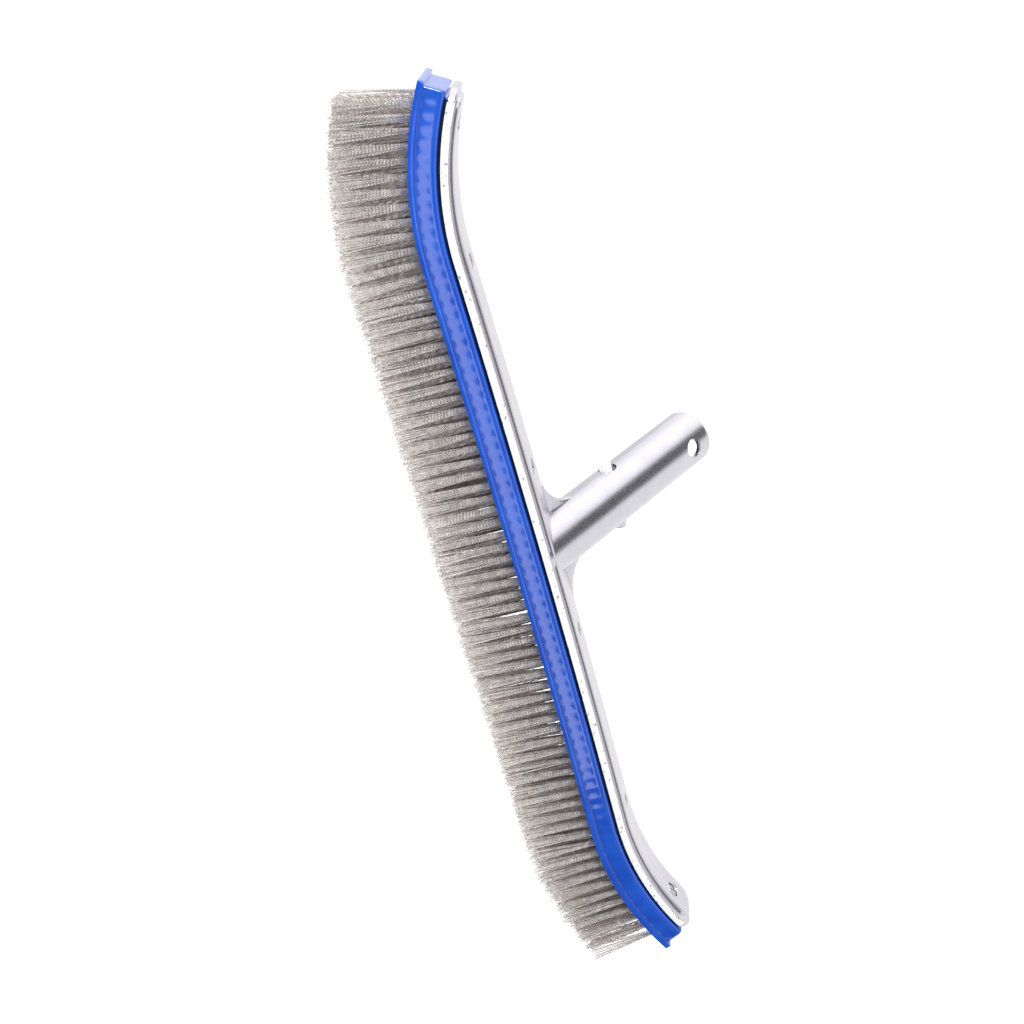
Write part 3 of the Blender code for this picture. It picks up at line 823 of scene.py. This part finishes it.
def foot_web(label, side):
    """Concave web from the rib to the tube's flank, leaning with the tube, with a round edge."""
    around, steps = 28, 40
    marks = np.linspace(0.0, 1.0, len(WEB_EDGE))
    shares = np.linspace(0.0, 1.0, steps)
    edge = np.stack([np.interp(shares, marks, part) for part in np.array(WEB_EDGE).T], axis=-1)
    for _ in range(3):
        edge[1:-1] = (edge[:-2] + 2.0 * edge[1:-1] + edge[2:]) / 4.0
    inner = np.maximum(edge - np.array([8.0, 6.5]), np.array([10.6, 13.6]))
    points = []
    for outside, inside, share in zip(edge, inner, shares):
        half = WEB_HALF_THICKNESS * (1.25 - 0.3 * share)
        for turn in np.linspace(0.0, 2.0 * math.pi, around, endpoint=False):
            c, s = math.cos(turn), math.sin(turn)
            along = 0.5 + 0.5 * math.copysign(abs(c) ** WEB_SQUARENESS, c)
            x, station = (inside + (outside - inside) * along) * MM
            rise = half * math.copysign(abs(s) ** WEB_SQUARENESS, s)
            points.append(handle_frame(station) @ Vector((side * x, rise, 0.0)))
    faces = grid_faces(steps, around) + [ring_cap(around), ring_cap(around, (steps - 1) * around)]
    web = mesh_object(f"foot_web_{label}", points, faces, 50.0)
    dress(web, "cast_aluminium", POLISHED)
    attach(web, "root")


def ring_mark():
    """Plain raised ring cast round the last screw at one end."""
    place = normal_frame(RING_MARK_STATION, RIB_TOP)
    around, section = 48, 8
    points = []
    for i in range(around):
        a = 2.0 * math.pi * i / around
        for j in range(section):
            b = 2.0 * math.pi * j / section
            radius = RING_MARK_RADIUS + RING_MARK_SECTION * math.cos(b)
            rise = RING_MARK_SECTION * math.sin(b)
            points.append(place @ Vector((radius * math.cos(a), radius * math.sin(a), rise)))
    faces = grid_faces(around, section)
    faces += [((around - 1) * section + j, (around - 1) * section + (j + 1) % section,
               (j + 1) % section, j) for j in range(section)]
    ring = mesh_object("cast_ring_mark", points, faces)
    dress(ring, "cast_aluminium", POLISHED)
    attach(ring, "root")


# ---------------------------------------------------------------- screws and clip

def block_screws():
    """Sunk round heads with a driver slot, each turned its own way."""
    for number, (station, turn) in enumerate(zip(SCREW_STATIONS, SCREW_TURNS), start=1):
        spin = Matrix.Rotation(math.radians(turn), 4, "Z")
        place = normal_frame(station, RIB_TOP - SCREW_SUNK) @ spin
        head, high = SCREW_HEAD_RADIUS, SCREW_HEAD_HEIGHT
        profile = [(0.0, high), (head * 0.45, high * 0.99), (head * 0.75, high * 0.92),
                   (head * 0.93, high * 0.72), (head, high * 0.4), (head, 0.1 * MM),
                   (SCREW_SHANK_RADIUS, 0.1 * MM), (SCREW_SHANK_RADIUS, -7.5 * MM),
                   (0.0, -9.0 * MM)]
        screw = turned(f"back_screw_{number}", profile, 40, place)
        slot = mesh_object(f"slot_{number}", *slot_box(place))
        cut(screw, slot)
        shade(screw.data, TURNED_SMOOTH_ANGLE)
        dress(screw, "screw_steel", ZINC)
        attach(screw, "root")
        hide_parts(f"block_screw_{number}")


def slot_box(place):
    """Points and faces of the driver slot."""
    low, high = SCREW_HEAD_HEIGHT - SLOT_DEPTH, SCREW_HEAD_HEIGHT + 1.0 * MM
    half, reach = SLOT_WIDTH / 2.0, 5.0 * MM
    outline = ((-reach, -half), (reach, -half), (reach, half), (-reach, half))
    corners = [(x, y, z) for z in (low, high) for x, y in outline]
    faces = [(3, 2, 1, 0), (4, 5, 6, 7)] + grid_faces(2, 4)
    return [place @ Vector(c) for c in corners], faces


def clip_arm(label, side):
    """One springy arm with its round snap button, rounded along every edge."""
    place = handle_frame(CLIP_HINGE_STATION) @ Matrix.Translation((side * CLIP_HINGE_X, 0.0, 0.0))
    half = CLIP_THICKNESS / 2.0
    run = CLIP_ARM_END_X - CLIP_HINGE_X
    knee = BUTTON_STATION - 5.0 * MM - CLIP_HINGE_STATION
    end = CLIP_ARM_END - CLIP_HINGE_STATION
    line = [(0.0, 0.0), (run * 0.5, knee * 0.5), (run * 0.93, knee * 0.93), (run, knee + 0.8 * MM),
            (run, end - 1.0 * MM), (run, end)]
    section = []
    for cx, cy, first in ((1, 1, 0.0), (-1, 1, 90.0), (-1, -1, 180.0), (1, -1, 270.0)):
        for step in range(4):
            turn = math.radians(first + 30.0 * step)
            section.append((cx * (half - CLIP_EDGE) + CLIP_EDGE * math.cos(turn),
                            cy * (CLIP_WIDTH / 2.0 - CLIP_EDGE) + CLIP_EDGE * math.sin(turn)))
    points = []
    for index, (x, z) in enumerate(line):
        shrink = 0.8 if index == len(line) - 1 else 1.0
        points += [place @ Vector((side * x + shrink * a, shrink * b, z)) for a, b in section]
    around = len(section)
    faces = grid_faces(len(line), around)
    faces += [ring_cap(around), ring_cap(around, (len(line) - 1) * around)]
    arm = mesh_object(f"snap_arm_{label}", points, faces, 40.0)
    tip = HANDLE_RADIUS + BUTTON_PROUD - CLIP_HINGE_X
    profile = [(0.0, tip), (BUTTON_RADIUS - 1.6 * BUTTON_EDGE, tip - 0.04 * MM)]
    profile += [(BUTTON_RADIUS - inset, tip - 0.1 * MM - drop)
                for inset, drop in reversed(quarter(BUTTON_EDGE, 5))]
    profile += [(BUTTON_RADIUS, run + half + 0.4 * MM),
                (BUTTON_RADIUS + 0.4 * MM, run + half * 0.9), (0.0, run)]
    outwards = Matrix.Rotation(math.radians(side * 90.0), 4, "Y")
    height = Matrix.Translation((0.0, 0.0, BUTTON_STATION - CLIP_HINGE_STATION))
    button = turned(f"snap_button_{label}", profile, 40, place @ height @ outwards, 40.0)
    for piece in (arm, button):
        dress(piece, "white_nylon", NYLON)
        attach(piece, f"{label}_arm")
    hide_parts(f"clip_arm_{label}")


# ---------------------------------------------------------------- studio

def studio_sheet(name, half_x, half_y, grey, roughness, glow):
    """A flat glowing sheet for the studio."""
    mesh = bpy.data.meshes.new(name)
    mesh.from_pydata([(-half_x, -half_y, 0.0), (half_x, -half_y, 0.0), (half_x, half_y, 0.0),
                      (-half_x, half_y, 0.0)], [], [(0, 1, 2, 3)])
    paint, _, shader = node_material(name, (grey, grey, grey), 0.0, roughness)
    shader.inputs["Specular IOR Level"].default_value = 0.0
    shader.inputs["Emission Color"].default_value = (1.0, 1.0, 1.0, 1.0)
    shader.inputs["Emission Strength"].default_value = glow
    mesh.materials.append(paint)
    made = new_object(name, mesh)
    return made


def aim(made, place, target, axis):
    """Put an object at a place with one of its axes towards a target."""
    made.location = place
    made.rotation_mode = "QUATERNION"
    made.rotation_quaternion = (Vector(target) - Vector(place)).to_track_quat(axis, "Y")


def area_light(name, place, target, size, power, glossy):
    light = bpy.data.lights.new(name, "AREA")
    light.shape = "RECTANGLE"
    light.size, light.size_y = size
    light.energy = power
    made = new_object(name, light)
    aim(made, place, target, "-Z")
    made.visible_glossy = glossy


def card(name, place, target, size, glow):
    """A sheet that only glossy surfaces see: bright ones shape highlights, dark ones the gaps."""
    made = studio_sheet(name, size[0] / 2.0, size[1] / 2.0, 0.0, 1.0, glow)
    aim(made, place, target, "Z")
    made.visible_camera = False
    made.visible_diffuse = False
    made.visible_transmission = False
    made.visible_shadow = False


def glow_towards(tree, direction, heading, stops):
    """Brightness of the sky by how near it lies to a direction."""
    dot = tree.nodes.new("ShaderNodeVectorMath")
    dot.operation = "DOT_PRODUCT"
    dot.inputs[1].default_value = Vector(heading).normalized()
    tree.links.new(direction, dot.inputs[0])
    return ramp(tree, dot.outputs["Value"], stops)


def studio_light():
    """A sky with a glow to the left and dark patches overhead and in front, lights and cards."""
    world = bpy.data.worlds.new("studio")
    bpy.context.scene.world = world
    world.use_nodes = True
    tree = world.node_tree
    coordinates = tree.nodes.new("ShaderNodeTexCoord")
    direction = coordinates.outputs["Generated"]
    patch = glow_towards(tree, direction, (-0.08, 0.085, 0.993),
                         [(0.91, 1.0), (0.94, 0.65), (0.958, 0.32), (0.975, 0.10), (1.0, 0.08)])
    glow = glow_towards(tree, direction, (-0.75, 0.45, 0.48),
                        [(0.70, 0.66), (0.87, 0.80), (0.97, 0.97), (1.0, 0.99)])
    front = glow_towards(tree, direction, (0.10, -0.96, -0.25),
                         [(0.50, 1.0), (0.75, 0.22), (1.0, 0.15)])
    sky = patch
    for factor in (glow, front):
        blend = tree.nodes.new("ShaderNodeVectorMath")
        blend.operation = "MULTIPLY"
        tree.links.new(sky, blend.inputs[0])
        tree.links.new(factor, blend.inputs[1])
        sky = blend.outputs["Vector"]
    background = tree.nodes["Background"]
    tree.links.new(sky, background.inputs["Color"])
    background.inputs["Strength"].default_value = 1.55
    area_light("key", (-0.75, 0.25, 1.05), (0.0, 0.02, 0.06), (0.75, 1.1), 3.0, False)
    area_light("side_key", (-0.95, -0.62, 0.42), (0.0, 0.0, 0.04), (0.35, 0.35), 9.0, True)
    card("front_strip", (0.035, -0.22, 0.004), (0.035, 0.0, 0.004), (0.45, 0.038), 2.4)
    card("front_floor", (0.1, -0.62, 0.0008), (0.1, -0.62, 1.0), (1.8, 1.2), 0.10)
    card("rear_floor", (0.0, 0.92, 0.0008), (0.0, 0.92, 1.0), (3.0, 1.6), 0.85)


def camera():
    data = bpy.data.cameras.new("camera")
    data.lens = CAMERA_LENS
    data.sensor_width = CAMERA_SENSOR
    data.clip_start = 0.01
    made = new_object("camera", data)
    aim(made, CAMERA_PLACE, CAMERA_TARGET, "-Z")
    made.rotation_quaternion = made.rotation_quaternion @ Quaternion((0.0, 0.0, 1.0), CAMERA_ROLL)
    bpy.context.scene.camera = made


# ---------------------------------------------------------------- assembly

bristles()
bristle_block()
back_plate()
handle_tube()
foot_web("left", -1)
foot_web("right", 1)
ring_mark()
block_screws()
clip_arm("left", -1)
clip_arm("right", 1)
dress(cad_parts["clip_bend"], "white_nylon", NYLON)

studio_sheet("studio_floor", 6.0, 6.0, 0.30, 0.9, 1.0)
studio_light()
camera()
bpy.context.scene.view_settings.view_transform = "Standard"
